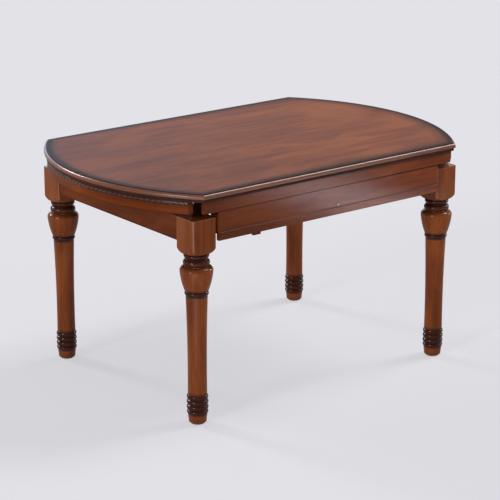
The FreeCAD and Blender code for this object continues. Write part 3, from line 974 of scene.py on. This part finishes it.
# %% Finish of the floor
pale = seen(227, 226, 231)
floor_glow = 0.66
mirrored_floor = (0.34, 0.34, 0.35, 1.0)
mirrored_front = (1.70, 1.66, 1.76, 1.0)
mirrored_card = (5.9, 5.6, 6.1, 1.0)
front_x = (-0.7, -1.3)            # where the lighter stretch fades in and where it is full
front_y = (-0.3, -1.0)
card_x = 1.54
card_y = -2.2
card_half_width = (0.36, 0.02)    # where the card fades in and where it is full, from its middle
card_half_length = (0.80, 0.40)
floor_finish = Finish("studio_floor")


def floor_ray(kind):
    return floor_finish.node("ShaderNodeLightPath", {}, {}, kind)


glossy = floor_ray("Is Glossy Ray")
straight = floor_ray("Is Camera Ray").most(floor_ray("Is Transmission Ray"))
floor_x, floor_y = floor_finish.place()[:2]
card_across = floor_finish.step(abs(floor_x - card_x), *card_half_width)
card_along = floor_finish.step(abs(floor_y - card_y), *card_half_length)
# painted reflections: glowing patches seen only by reflected rays
front = floor_finish.step(floor_x, *front_x) * floor_finish.step(floor_y, *front_y)
mirrored = floor_finish.mix(card_across * card_along, mirrored_floor, mirrored_card)
glow_colour = floor_finish.mix(glossy, pale, floor_finish.mix(front, mirrored, mirrored_front))
matt = floor_finish.node("ShaderNodeBsdfDiffuse", {}, {"Color": pale})
glow = floor_finish.node("ShaderNodeEmission", {}, {"Color": glow_colour, "Strength": 1.0})
glow_share = (floor_glow * straight).most(glossy)
sheet = floor_finish.node("ShaderNodeMixShader", {}, {0: glow_share, 1: matt, 2: glow})
add_node(floor_finish.tree, "ShaderNodeOutputMaterial", {}, {"Surface": sheet.socket})
print("floor finish made,", len(floor_finish.tree.nodes), "nodes")

# %% [markdown]
# The sheet itself is one large level face.

# %% Floor
floor_half = 40.0
floor_corners = [(-floor_half, -floor_half, 0), (floor_half, -floor_half, 0),
                 (floor_half, floor_half, 0), (-floor_half, floor_half, 0)]
floor_mesh = bpy.data.meshes.new("studio_floor")
floor_mesh.from_pydata(floor_corners, [], [(0, 1, 2, 3)])
floor_mesh.materials.append(floor_finish.material)
floor = bpy.data.objects.new("studio_floor", floor_mesh)
bpy.context.collection.objects.link(floor)
print("floor laid,", 2 * floor_half, "m wide")

# %% [markdown]
# The world is a pale wall near the horizon and a dimmer ceiling above, so that the lacquer has something
# to reflect without turning grey. A soft, cool window in the back wall lies where the left part of the
# top mirrors it, and cools the colour there.

# %% World
ceiling = (0.30, 0.30, 0.31, 1.0)
wall_top = 0.10                   # heights in the room, as the Z of a direction
ceiling_edge = 0.32
window = (0.95, 1.30, 1.75, 1.0)
window_way = Vector((0.36, 0.90, 0.26)).normalized()
window_reach = math.radians(18.0)
window_full = math.radians(4.0)
world = bpy.data.worlds.new("studio")
world.use_nodes = True
bpy.context.scene.world = world
room = world.node_tree
room.nodes.clear()
way = outlet(room, "ShaderNodeTexCoord", {}, {}, "Generated")
height = outlet(room, "ShaderNodeSeparateXYZ", {}, {0: way}, "Z")
stops = [(wall_top, pale), (ceiling_edge, ceiling)]
walls = outlet(room, "ShaderNodeValToRGB", {"stops": stops}, {0: height})
nearness = outlet(room, "ShaderNodeVectorMath", {"operation": "DOT_PRODUCT"},
                  {0: way, 1: window_way}, "Value")
window_share = outlet(room, "ShaderNodeMapRange", {"interpolation_type": "SMOOTHSTEP"},
                      {0: nearness, 1: math.cos(window_reach), 2: math.cos(window_full)})
colour = outlet(room, "ShaderNodeMix", {"data_type": "RGBA"}, {0: window_share, 6: walls, 7: window}, 2)
air = outlet(room, "ShaderNodeBackground", {}, {"Color": colour, "Strength": 1.0})
add_node(room, "ShaderNodeOutputWorld", {}, {"Surface": air})
print("world made,", len(room.nodes), "nodes")

# %% [markdown]
# Four soft lamps, far away like suns, light the table: two from the right and one from behind draw the
# bright lines on the beads, and one from the left makes that side a little lighter. Together with the
# world they light a level surface so that its colour comes out as it was written, without any change of
# tone by the view transform.

# %% Lamps
def soft_lamp(name, comes_from, spread, strength):
    lamp = bpy.data.lights.new(name, "SUN")
    lamp.energy = strength
    lamp.angle = math.radians(spread)
    lamp_object = bpy.data.objects.new(name, lamp)
    lamp_object.rotation_euler = (-Vector(comes_from)).to_track_quat("-Z", "Y").to_euler()
    bpy.context.collection.objects.link(lamp_object)
    print(name, "adds", round(strength * Vector(comes_from).normalized().z, 2), "to a level surface")


soft_lamp("right_lamp", (0.62, -0.06, 0.78), spread=24.0, strength=1.35)
soft_lamp("back_lamp", (-0.20, 0.85, 0.48), spread=14.0, strength=1.10)
soft_lamp("side_lamp", (0.95, -0.13, 0.30), spread=10.0, strength=0.50)
soft_lamp("left_lamp", (-0.90, -0.18, 0.36), spread=14.0, strength=0.95)
bpy.context.scene.view_settings.view_transform = "Standard"
